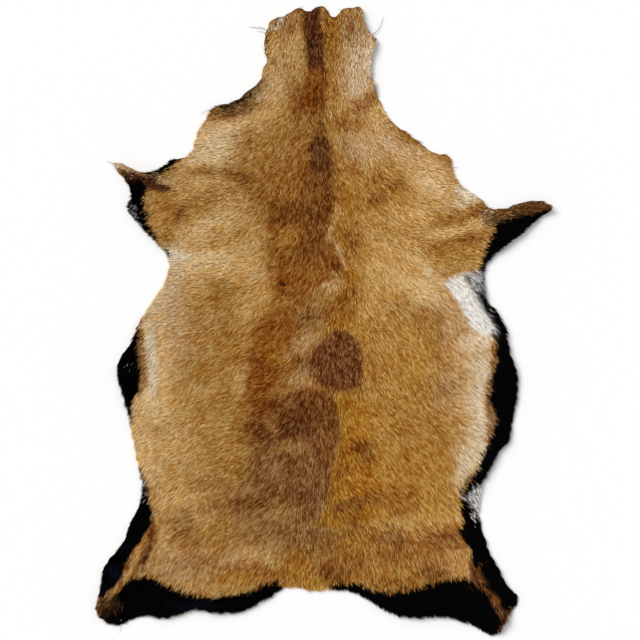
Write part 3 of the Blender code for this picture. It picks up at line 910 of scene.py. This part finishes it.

# %% [markdown]
# The right side is much like the left, but no animal is quite the same on both. Its flank fades
# to cream toward the edge, and its hind leg is darker. Two brown bands across its shoulder paint
# the shade in its folds.

# %% Markings: right side
RIGHT_SIDE = (
    spot("wheat", 0.7, 58, 256, 30, 24, -30, 0.7), spot("wheat", 0.8, 103, 262, 33, 15, -40, 0.7),
    spot("pale tan", 0.75, 163, 211, 39, 27, -30, 0.6), spot("cream", 0.4, 157, 208, 21, 12, -30),
    spot("brown", 0.65, 133, 275, 21, 12, -28, 0.7), spot("brown", 0.6, 184, 238, 10.5, 18, 0, 0.7),
    spot("honey", 0.65, 91, 196, 27, 27), spot("umber", 0.75, 82, 176, 18, 13.5, 20, 0.7),
    spot("umber", 0.45, 85, 211, 12, 7.5), spot("umber", 0.45, 112, 202, 10.5, 13.5),
    spot("brown", 0.4, 49, 217, 12, 9), spot("honey", 0.5, 43, 172, 15, 21),
    spot("pale tan", 0.6, 130, 160, 33, 21), spot("tan", 0.6, 76, 142, 27, 21),
    spot("honey", 0.45, 106, 133, 18, 12),
    # Painted shade: a brown band in a fold of the right shoulder.
    stripe("brown", 0.85, 7.5, 6, (169, 145), (208, 152), (241, 169)),
    stripe("wheat", 0.6, 6, 4.5, (181, 169), (208, 172), (235, 181)),
    stripe("pale tan", 0.7, 6, 6, (172, 130), (208, 136), (244, 148)),
    # Painted shade in the next fold of the right shoulder.
    stripe("brown", 0.6, 7.5, 6, (163, 106), (202, 118), (250, 127)),
    spot("honey", 0.6, 199, 97, 36, 18, 0, 0.7), spot("pale tan", 0.52, 112, 79, 51, 39, -20, 0.7),
    spot("cream", 0.4, 151, 79, 24, 7.5, -40), spot("tan", 0.5, 82, 31, 21, 36),
    spot("grey brown", 0.4, 145, 7, 36, 18, -15), spot("wheat", 0.6, 175, 31, 33, 21, -35),
    spot("grey brown", 0.5, 190, -23, 30, 45, -10), spot("honey", 0.45, 178, -83, 21, 24),
    spot("honey", 0.65, 127, -68, 51, 75), spot("wheat", 0.6, 193, -119, 30, 51),
    spot("honey", 0.9, 151, -170, 51, 48), spot("grey brown", 0.25, 151, -170, 51, 48, 0, 0.9),
    spot("honey", 0.4, 106, -194, 18, 30), spot("gold", 0.4, 184, -224, 24, 21),
    spot("honey", 0.8, 136, -245, 54, 42), spot("brown", 0.35, 121, -263, 33, 21, 0, 0.9),
    spot("pale tan", 0.35, 154, -299, 36, 13.5, 20), spot("brown", 0.45, 115, -287, 21, 10.5),
    spot("brown", 0.55, 121, -347, 54, 27, 0, 0.9), spot("grey brown", 0.55, 97, -325, 24, 13.5, -10),
    spot("umber", 0.4, 109, -329, 15, 9, -15), spot("pale tan", 0.45, 196, -353, 21, 21, 0, 0.7),
    spot("umber", 0.55, 163, -377, 16.5, 13.5), spot("brown", 0.5, 202, -320, 18, 9, -20),
    spot("honey", 0.8, 103, -389, 51, 18), spot("umber", 0.5, 111, -397, 39, 12),
    spot("umber", 0.5, 201, -335, 16.5, 16.5), spot("umber", 0.45, 40, -289, 22.5, 13.5),
    spot("sand", 0.45, 144, 44, 22.5, 18), spot("cream", 0.45, 207, 176, 13.5, 9),
    spot("umber", 0.45, 51, -367, 21, 13.5), spot("pale tan", 0.45, 67, 29, 13.5, 24),
    spot("umber", 0.5, 166, -326, 21, 13.5, -30), spot("umber", 0.6, 186, -385, 18, 7.5, -20),
    spot("umber", 0.6, 195, -335, 15, 12, -20), spot("wheat", 0.6, 141, 253, 18, 13.5, -30),
    spot("wheat", 0.6, 196, 1, 15, 19.5, -20), spot("honey", 0.6, 120, 178, 15, 18),
    spot("bone", 0.55, 205, -236, 12, 16.5), spot("umber", 0.55, 153, -380, 18, 12, -10),
    spot("grey brown", 0.45, 184, -98, 22.5, 25.5), spot("brown", 0.45, 172, -353, 19.5, 15),
    spot("umber", 0.45, 48, -314, 21, 12), spot("wheat", 0.55, 180, 229, 15, 15),
    spot("honey", 0.55, 175, -287, 19.5, 15), spot("grey brown", 0.4, 39, 256, 15, 19.5),
    spot("honey", 0.6, 76, 163, 18, 15), spot("cream", 0.8, 235, -29, 24, 13.5, 20, 0.9),
    spot("wheat", 0.55, 211, -44, 27, 33),
    stripe("bone", 0.8, 19.5, 16.5, (237, -65), (241, -86), (232, -122), (238, -155), (232, -188),
        (217, -212)),
    stripe("umber", 0.85, 3, 3.8, (258, -29), (253, -77), (246, -116), (252, -149), (246, -185)),
    area("dark umber", 0.85, 4.5, (220, -362), (231, -362), (247, -389), (268, -416), (286, -437),
        (277, -464), (253, -485), (238, -425), (220, -392)),
    spot("tan", 0.6, 207, -356, 13.5, 22.5, -15),
)
print("markings: right side:", len(RIGHT_SIDE))

# %% [markdown]
# The belly hair shows all round the rim: black along the flanks and the rump, white in the
# armpit and at the thigh, brown at the tips of the legs. One dark area here is partly dark hair
# and partly painted shade in the crease of the left foreleg, and a few blue spots paint sheen on
# the black hair. These rows come last, and their borders are sharp, so that the mottling of the
# coat stays out of them.

# %% Markings: rims
RIMS = (
    area("cream", 0.9, 4.5, (-240, 109), (-213, 104), (-200, 94), (-213, 89), (-228, 83), (-242, 85)),
    area("cream", 0.95, 6, (199, 202), (220, 197), (235, 184), (225, 179), (211, 182), (198, 191)),
    area("smoke", 0.4, 4.5, (-137, 335), (-92, 364), (-92, 343), (-116, 325), (-143, 313), (-176, 307),
        (-173, 331)),
    area("black", 0.9, 3, (-176, 322), (-146, 329), (-125, 338), (-107, 355), (-98, 370), (-125, 376),
        (-185, 334)),
    area("umber", 0.45, 3, (103, 304), (121, 292), (151, 271), (190, 256), (196, 223), (190, 223),
        (184, 244), (145, 262), (112, 287), (99, 301)),
    # Partly dark hair, partly painted shade in the crease under the left foreleg's fold.
    area("dark umber", 0.9, 3, (-311, 232), (-293, 223), (-266, 218), (-242, 209), (-227, 199),
        (-236, 194), (-260, 196), (-275, 202), (-296, 208)),
    area("wheat", 0.85, 2.2, (-320, 241), (-296, 235), (-266, 226), (-245, 220), (-221, 203), (-233, 202),
        (-254, 212), (-278, 220), (-302, 227)),
    spot("black", 0.75, -284, 206, 18, 7.5, -25, 0.7),
    stripe("white", 1, 1.2, 2, (-315, 235), (-306, 227)),
    area("black", 1, 1.2, (-300, 217), (-284, 214), (-270, 206), (-267, 193), (-272, 184), (-266, 163),
        (-257, 134), (-245, 110), (-231, 97), (-275, 88), (-341, 172)),
    area("black", 1, 1.2, (-269, 220), (-251, 217), (-237, 226), (-222, 236), (-209, 247), (-212, 259),
        (-266, 247)),
    area("black", 1, 1.2, (-281, -7), (-278, -37), (-276, -71), (-275, -95), (-281, -109), (-285, -122),
        (-287, -140), (-288, -161), (-335, -155), (-338, -59), (-299, 1)),
    area("black", 1, 1.2, (-276, -220), (-269, -236), (-263, -254), (-260, -272), (-255, -299),
        (-267, -320), (-284, -341), (-294, -359), (-303, -380), (-314, -398), (-333, -416), (-380, -404),
        (-320, -290), (-284, -218)),
    area("black", 1, 1.2, (-335, -452), (-326, -431), (-317, -416), (-300, -398), (-285, -386),
        (-264, -383), (-245, -391), (-221, -404), (-198, -413), (-174, -416), (-138, -412), (-114, -406),
        (-90, -397), (-72, -391), (-62, -398), (-98, -458), (-320, -479)),
    area("black", 1, 1.2, (6, -397), (25, -394), (43, -394), (60, -398), (76, -406), (100, -407),
        (124, -406), (145, -401), (159, -395), (171, -392), (184, -388), (204, -388), (216, -389),
        (226, -395), (240, -407), (253, -425), (264, -446), (258, -476), (199, -488), (60, -449)),
    area("black", 1, 1.2, (204, -257), (207, -269), (208, -287), (211, -302), (204, -317), (207, -326),
        (214, -334), (222, -347), (222, -359), (232, -377), (241, -395), (252, -410), (264, -422),
        (273, -437), (319, -419), (259, -299), (244, -248)),
    area("black", 1, 1.2, (211, 67), (220, 49), (229, 31), (237, 7), (246, -14), (261, -32), (259, -62),
        (253, -92), (249, -116), (256, -137), (259, -152), (252, -176), (241, -197), (234, -218),
        (222, -238), (207, -257), (250, -266), (319, -161), (319, 1), (256, 70)),
    area("white", 0.95, 4.5, (180, 55), (192, 64), (214, 70), (214, 55), (231, 37), (240, 19), (250, 1),
        (262, -16), (250, -22), (235, -20), (222, -10), (211, 10), (202, 28), (192, 41)),
    spot("cream", 0.35, 235, -29, 18, 9, 15, 0.9),
    stripe("black", 0.75, 3, 1.8, (216, 59), (229, 44), (246, 29), (253, 13)),
    area("smoke", 0.85, 7.5, (247, 175), (280, 187), (333, 190), (352, 169), (310, 154), (265, 142),
        (250, 145)),
    spot("smoke", 0.7, 250, 163, 12, 15),
    area("black", 1, 1.2, (259, 142), (277, 152), (304, 158), (327, 164), (349, 172), (358, 136),
        (265, 31), (229, 67), (238, 88), (244, 106), (250, 121)),
    area("white", 0.8, 4.5, (207, -262), (216, -263), (223, -256), (232, -248), (244, -245), (244, -308),
        (235, -301), (228, -286), (217, -271)),
    spot("black", 0.55, 229, -242, 9, 7.5), spot("dark umber", 0.75, -294, 214, 18, 6, 20),
    stripe("white", 0.9, 1.5, 1.5, (205, -263), (217, -266), (226, -274)),
    stripe("brown", 0.45, 3, 3.8, (232, -374), (246, -401), (264, -425)),
    stripe("umber", 0.6, 2.2, 2.2, (270, -458), (286, -434)),
    spot("smoke", 0.65, -326, -428, 13.5, 18, -30),
    area("silver", 0.75, 4.5, (214, 68), (238, 76), (247, 43), (232, 37)),
    # Painted sheen: bluish glints on the black hair.
    spot("blue sheen on black", 0.85, -300, -338, 9, 5.2, -30),
    spot("blue sheen on black", 0.85, -314, -376, 13.5, 7.5, -30), spot("blue sheen on black", 0.6, -191, -428, 39, 6),
)
print("markings: rims:", len(RIMS))

# %% [markdown]
# Where two colours meet on a real skin, single hairs of one stand among the other. Softening
# the border would only give grey, so some locks in a patch take the other colour whole.

# %% Speckles
SPECKLES = (
    # colour, share of the locks, across, along, half across, half along, turn
    ("black", 0.4, 229, 55, 13.5, 18, 30), ("white", 0.4, 226, 58, 13.5, 15, 0),
    ("white", 0.38, 231, -275, 10.5, 27, 0), ("black", 0.4, 229, -277, 12, 27, 0),
    ("silver", 0.16, -281, 157, 7.5, 21, 25), ("black", 0.35, -266, 211, 39, 7.5, 20),
    ("bone", 0.1, -275, 223, 42, 6, 20), ("silver", 0.16, -269, -254, 6, 18, 0),
    ("bone", 0.22, 247, 160, 13.5, 13.5, 0), ("tan", 0.3, 265, 164, 24, 12, 10),
    ("umber", 0.6, 292, 169, 51, 12, 10), ("smoke", 0.25, 282, 160, 39, 12, 20),
    ("silver", 0.12, -290, -70, 6, 6, 0), ("white", 0.06, 250, 10, 9, 30, -25),
    ("umber", 0.25, 229, -383, 7.5, 21, -30), ("black", 0.45, 244, -404, 13.5, 48, -30),
    ("black", 0.4, 268, -443, 13.5, 30, -30), ("black", 0.4, -326, -428, 13.5, 21, -20),
    ("umber", 0.3, -314, -428, 12, 13.5, 0), ("umber", 0.42, -140, 317, 37.5, 13.5, 14),
    ("black", 0.18, -137, 319, 36, 12, 14), ("black", 0.65, -138, 329, 36, 7.5, 22),
    ("black", 0.35, -86, 415, 6, 27, 0), ("tan", 0.35, -167, 313, 18, 12, 0),
)
print("speckles:", len(SPECKLES))

# %% [markdown]
# One function now gives the colour of any place on the skin: the markings laid over each other
# in order, the fine mottling, and the speckles. The table's colours are what daylight shows on
# the finished coat. Some light is lost between lying hairs, most of all between dark ones, so
# the hair's own colour is lighter than the one that is seen, and is worked out backward from it.

# %% Colour of any place
DAYLIGHT = 1.31
LIGHT_BACK = 0.45
RAGGED = 14.0
RICHER_DARK, RICHER_LIGHT = 1.9 * 0.8, 0.7 * 0.8
CALMER = 0.5
STREAK_STEPS = 7
STREAK_EVENED = 2.6
SPECKLE_SOFT = 0.5
SPECKLE_STRENGTH = 0.9
DRIFTS = ((14, 11, 2.4), (5, 13, 1.8))
LOOSE_DRIFT = (36, 15, 3.0)
DRIFT_IN_LOOSE, DRIFT_IN_TIGHT = 1.5, 0.8
MOTTLE_CLOUDS = ((0.10, 8, 17), (0.10, 22, 18))
MOTTLE_STREAKS = ((0.12, 2.8, 4, 19), (0.22, 1.3, 1.6, 20))
MOTTLE_LIGHT_HAIR, MOTTLE_DARK_HAIR = 0.5, 1.5
MOTTLE_RANGE = (-0.7, 0.22)
MARKINGS = (BACK, NECK, LEFT_SIDE, RIGHT_SIDE, RIMS)


def wander(spots, size, seed, most):
    """Which way and how far a slow cloud moves each place, in millimetres."""
    return np.stack([cloud(spots, size, seed), cloud(spots, size, seed + 1)], 1) * most


def streaks(spots, ways, width, reach, seed):
    """Uneven streaks that follow the lay of the hair, about -1 to 1."""
    steps = np.linspace(-reach, reach, STREAK_STEPS)
    return sum(cloud(spots + ways * step, width, seed) for step in steps) / STREAK_EVENED


def laid_over(colours, name, amount):
    """One marking's colour over the colours so far."""
    over = np.array(COLOURS[name]) / 255
    return colours + (over - colours) * amount[:, None]


def mottled(colours, spots, ways):
    """The coat's fine unevenness, stronger in dark hair than in light hair."""
    mottle = sum(share * cloud(spots, *rest) for share, *rest in MOTTLE_CLOUDS)
    mottle += sum(share * streaks(spots, ways, *rest) for share, *rest in MOTTLE_STREAKS)
    darkness = 1 - colours.max(1)
    shift = np.clip(mottle * (MOTTLE_LIGHT_HAIR + MOTTLE_DARK_HAIR * darkness), *MOTTLE_RANGE)
    return colours ** (1 - shift)[:, None]


def own_colours(colours, luck):
    """From the colours that daylight shows to the hair's own, as light.

    Locks that the finish darkens, as painted shade between hairs, get a richer colour, and locks differ
    less in a pale coat.
    """
    colours = np.clip(colours, 0.0, 1.0)
    seen = np.where(colours <= 0.04045, colours / 12.92, ((colours + 0.055) / 1.055) ** 2.4) / DAYLIGHT
    own = seen / (LIGHT_BACK + seen * (1 - LIGHT_BACK))
    strongest = np.maximum(own.max(1), 1e-4)[:, None]
    lock_light = (DARK_LOCK + LIGHT_LOCK * luck ** 2)[:, None]
    richer = np.where(lock_light < 1, RICHER_DARK, RICHER_LIGHT)
    return own * lock_light ** (richer * (1 - own / strongest) - CALMER * strongest)


def coat_colours(places, ways, luck):
    """The own colour of the hair that shows at flat places in metres, as light."""
    spots = places / MM
    drift = sum(wander(spots, *slow_cloud) for slow_cloud in DRIFTS)
    ragged = ways * ((luck * 37) % 1 + (luck * 53) % 1 - 1)[:, None] * (RAGGED / 2)
    moved = {"loose": spots + (drift * DRIFT_IN_LOOSE + wander(spots, *LOOSE_DRIFT)),
             "tight": spots + (drift * DRIFT_IN_TIGHT + ragged)}
    colours = np.tile(np.array(COLOURS["tan"]) / 255, (len(spots), 1))
    for group in MARKINGS:
        if group is RIMS:
            colours = mottled(colours, spots, ways)
        for name, strength, hold, cover in group:
            colours = laid_over(colours, name, strength * cover(moved[hold]))
    for index, (name, share, *shape) in enumerate(SPECKLES):
        cover = spot(name, share, *shape, SPECKLE_SOFT)[-1]
        picked = (luck * (7 + index)) % 1 < share * cover(spots)
        colours = laid_over(colours, name, picked * SPECKLE_STRENGTH)
    return own_colours(colours, luck)


print(sum(map(len, MARKINGS)), "markings and", len(SPECKLES), "patches of speckles")

# %% [markdown]
# Now the hair grows. Each strip's modifier gets its inputs by their sockets' identifiers, the
# evaluated result becomes a plain mesh, and the modifier goes. Every lock then has five points
# in a row, so whole locks can be handled as rows of an array: locks at the edge that reach
# past the outline are shortened, tips under the floor are lifted, and each lock takes its
# colour. Each lock also gets its own small cell on a flat map, so that colours can be baked.

# %% Grow the hair
POINTS_PER_LOCK = 5
COLOUR_AT = 0.6
EDGE_OVERHANG = 0.0010
EDGE_RAGGED = 0.0012
EDGE_SEARCH = 0.012
LUCK_REACH, LUCK_SHORT = 3, 0.8
LEAST_KEPT = 0.3
FLOOR_GAP = 0.0003
ROW_KEY = 100003
MAP_CORNERS = ((0.12, 0.12), (0.88, 0.12), (0.12, 0.6), (0.88, 0.6), (0.5, 0.9))


def socket_identifiers(tree):
    """The identifier of each input of a tree, by its name."""
    return {item.name: item.identifier for item in tree.interface.items_tree if item.in_out == "INPUT"}


def grow(strip, seed):
    """Turn a strip into its hair, as a plain mesh."""
    growing = strip.modifiers.new("hair", "NODES")
    growing.node_group = grow_hair
    named = socket_identifiers(grow_hair)
    growing[named["Seed"]] = seed
    growing[named["Finish"]] = hair_look
    mesh = work_in(strip)
    mesh.name = strip.name
    return mesh


def per_lock(mesh, name, width, field):
    """An attribute of a strip's points, with a row for each lock."""
    values = np.empty(len(mesh.vertices) * width, np.float32)
    mesh.attributes[name].data.foreach_get(field, values)
    return values.reshape(-1, POINTS_PER_LOCK, width)


def near_edge(spots, reach):
    """Which flat places lie within reach of the outline, found on a coarse grid first."""
    cell = reach / 2
    edge_cells = set()
    closed = np.vstack([outline, outline[:1]])
    for start, end in zip(closed, closed[1:]):
        steps = max(2, int(np.linalg.norm(end - start) / cell) + 1)
        for spot in np.linspace(start, end, steps):
            x, y = np.floor(spot / cell).astype(int)
            for dx in range(-3, 4):
                for dy in range(-3, 4):
                    edge_cells.add((x + dx) * ROW_KEY + y + dy)
    keys = np.floor(spots / cell).astype(int)
    return np.isin(keys[:, 0] * ROW_KEY + keys[:, 1], list(edge_cells))


def trim_to_edge(places, roots, luck):
    """Shorten the locks whose tips reach past the outline."""
    tips_now = places[:, -1, :2]
    close = np.flatnonzero(near_edge(tips_now, EDGE_SEARCH))
    ragged = EDGE_RAGGED * cloud(tips_now[close] / MM, 5, 23)
    overhang = EDGE_OVERHANG * (luck[close] * LUCK_REACH - LUCK_SHORT)
    past = ragged - depth_inside(tips_now[close], outline) - overhang
    reach = np.linalg.norm(tips_now[close] - roots[close, :2], axis=1)
    kept = np.clip(1 - past / np.maximum(reach, SHORTEST), LEAST_KEPT, 1.0)
    shrink = np.where(past > 0, kept, 1.0)[:, None, None]
    places[close] = roots[close, None] + (places[close] - roots[close, None]) * shrink
    return int((past > 0).sum())


def map_locks(mesh, count):
    """Give each lock its own cell of a flat map."""
    across = math.ceil(math.sqrt(count))
    lock = np.arange(count)
    cells = np.stack([lock % across, lock // across], 1)[:, None]
    spots = ((cells + np.array(MAP_CORNERS)[None]) / across).reshape(-1, 2)
    corners = np.empty(len(mesh.loops), np.int32)
    mesh.loops.foreach_get("vertex_index", corners)
    flat_map = mesh.uv_layers.new(name="OFBake")
    flat_map.data.foreach_set("uv", spots[corners].astype(np.float32).ravel())


def put_colours(mesh, colours):
    """Store a colour for each point of a mesh as the attribute that the finishes read."""
    layer = mesh.color_attributes.new("coat", "FLOAT_COLOR", "POINT")
    full = np.ones((len(colours), 4), np.float32)
    full[:, :3] = colours
    layer.data.foreach_set("color", full.ravel())


def dress(mesh):
    """Trim, colour and map the locks of one strip."""
    along = per_lock(mesh, "along", 1, "value")[..., 0]
    order = np.argsort(along[0], kind="stable")
    assert np.allclose(along[:, order][:, [0, -1]], (0.0, 1.0))
    places = per_lock(mesh, "position", 3, "vector")[:, order].astype(float)
    roots = per_lock(mesh, "root", 3, "vector")[:, 0].astype(float)
    luck = per_lock(mesh, "luck", 1, "value")[:, 0, 0]
    trimmed = trim_to_edge(places, roots, luck)
    places[..., 2] = np.maximum(places[..., 2], FLOOR_GAP)
    ways = places[:, -1, :2] - roots[:, :2]
    colours = coat_colours(roots[:, :2] + ways * COLOUR_AT, unit(ways), luck)
    back = np.argsort(order)
    mesh.vertices.foreach_set("co", places[:, back].astype(np.float32).ravel())
    put_colours(mesh, np.repeat(colours, POINTS_PER_LOCK, axis=0))
    map_locks(mesh, len(along))
    mesh.update()
    print(mesh.name, len(along), "locks,", trimmed, "trimmed at the edge")
    return len(along)


locks = sum(dress(grow(strip, 20 + 10 * index)) for index, strip in enumerate(strips))
print("the coat has", locks, "locks and", locks * 3, "triangles")

# %% [markdown]
# The leather's colours: on its hair side the coat's colour, which its finish darkens as painted
# shade between the locks, and on its flesh side and edge bare suede. The two sides are two slots
# of one mesh, told apart by which way their faces look.

# %% Colour the leather
LOOKS_UP = 0.4
UNDER_LUCK = 0.3

leather.data.materials.append(flesh_look)
leather.data.materials.append(shaded_roots_look)
for face in leather.data.polygons:
    face.material_index = 1 if face.normal.z > LOOKS_UP else 0
leather_spots = np.array([tuple(vert.co)[:2] for vert in leather.data.vertices])
under_luck = np.full(len(leather_spots), UNDER_LUCK)
put_colours(leather.data, coat_colours(leather_spots, combed(leather_spots)[0], under_luck))
print("leather colours on", len(leather_spots), "points")

# %% [markdown]
# Some single hairs stick out past the rim at the neck and shoulder, and at one hind leg pale
# fibres of the leather have come away. A real stray hair is thinner than this, but it has to
# be seen from three metres up. Each one is a row of points for a smooth curve that thins out
# toward its free end, and the curves become two small meshes, one dark and one pale.

# %% Stray hairs and fibres
STRAY_HAIRS = (
    # half thickness at the rim, then the path: across, along, height, all in millimetres
    (0.42, ((-84, 434, 3), (-92, 440, 3), (-99, 438, 2), (-106, 441, 1.5), (-111, 439, 1))),
    (0.30, ((-86, 431, 3), (-94, 434, 2.5), (-100, 433, 1.5))),
    (0.45, ((70, 427, 3), (79, 431, 3), (85, 440, 3), (88, 449, 2.5), (90, 456, 2))),
    (0.30, ((32, 460, 3), (26, 466, 3), (21, 468, 2))),
    (0.35, ((-38, 465, 3), (-36, 470, 3), (-30, 472, 2))),
    (0.35, ((190, 229, 3), (196, 230, 2), (202, 229, 1.5))),
    (0.30, ((141, 270, 3), (146, 269, 2), (151, 266, 1.5))),
    (0.38, ((204, 200, 3), (220, 194, 3), (236, 182, 2))),
    (0.30, ((-318, 236, 3), (-322, 240, 2.5), (-324, 238, 2))),
    (0.30, ((-168, 316, 3), (-177, 315, 2.5), (-184, 309, 1.5))),
)
STRAY_FIBRES = (
    (0.60, ((-303, -448, 2), (-305, -457, 1.5), (-303, -463, 1.2), (-307, -468, 1))),
    (0.55, ((-304, -453, 2), (-290, -448, 2), (-274, -443, 2), (-262, -441, 1.5))),
    (0.40, ((-300, -452, 2), (-297, -457, 1.5), (-291, -455, 1))),
    (0.40, ((-262, -440, 2), (-256, -445, 1.5), (-250, -442, 1))),
)
STRAY_COLOURS = {"stray_hairs": (0.045, 0.028, 0.020, 1.0), "stray_fibres": (0.82, 0.78, 0.72, 1.0)}
THINNER = 0.6


def stray_piece(name, rows):
    """Thin round strands along smooth paths, as one mesh object."""
    curve = bpy.data.curves.new(name, "CURVE")
    curve.dimensions = "3D"
    curve.bevel_depth = MM
    curve.bevel_resolution = 1
    curve.resolution_u = 4
    curve.use_fill_caps = True
    for thickness, path in rows:
        strand = curve.splines.new("NURBS")
        strand.points.add(len(path) - 1)
        strand.order_u = 3
        strand.use_endpoint_u = True
        for index, (point, place) in enumerate(zip(strand.points, path)):
            point.co = (*(value * MM for value in place), 1.0)
            point.radius = thickness * (1 - THINNER * index / (len(path) - 1))
    drawn = new_object(name, curve)
    mesh = evaluated_mesh(drawn)
    bpy.data.objects.remove(drawn)
    mesh.name = name
    finish, shader, _ = new_finish(name)
    feed(shader, {"Base Color": STRAY_COLOURS[name], "Roughness": 0.7})
    mesh.materials.clear()
    mesh.materials.append(finish)
    print(name, len(rows), "strands,", len(mesh.polygons), "faces")
    return new_object(name, mesh)


stray_hairs = stray_piece("stray_hairs", STRAY_HAIRS)
stray_fibres = stray_piece("stray_fibres", STRAY_FIBRES)

# %% [markdown]
# Every piece rides on the one body, and the frame's solid is hidden, so that the pieces stand for it.

for piece in (leather, *strips, stray_hairs, stray_fibres):
    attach(piece, "root")
    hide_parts("sheepskin")

# %% [markdown]
# The studio is a white floor under soft daylight. The floor lies a touch below the leather, so
# that the two faces don't meet. One broad lamp from the upper left gives the thin shadows at the
# right and lower edges, and a white sky fills the rest.

# %% Floor and light
FLOOR_SIZE = 8.0
FLOOR_HEIGHT = -0.0001
SUN_STRENGTH = 2.35
SUN_SOFTNESS = math.radians(35)
SUN_WAY = Vector((0.62, -0.50, -1.0))
SKY_STRENGTH = 0.50

bpy.ops.mesh.primitive_plane_add(size=FLOOR_SIZE, location=(0, 0, FLOOR_HEIGHT))
floor = bpy.context.object
floor.name = "floor"
floor_look, floor_shader, _ = new_finish("white_floor")
feed(floor_shader, {"Base Color": (0.92, 0.92, 0.92, 1.0), "Roughness": 0.9, "Specular IOR Level": 0.1})
floor.data.materials.append(floor_look)

lamp = bpy.data.lights.new("daylight", "SUN")
lamp.energy = SUN_STRENGTH
lamp.angle = SUN_SOFTNESS
sun = new_object("daylight", lamp)
sun.rotation_mode = "QUATERNION"
sun.rotation_quaternion = SUN_WAY.to_track_quat("-Z", "Y")

sky = bpy.data.worlds.new("sky")
sky.use_nodes = True
feed(sky.node_tree.nodes["Background"], {"Color": (1.0, 1.0, 1.0, 1.0), "Strength": SKY_STRENGTH})
bpy.context.scene.world = sky
bpy.context.scene.view_settings.view_transform = "Standard"
print("floor", FLOOR_SIZE, "m wide, daylight and a white sky")
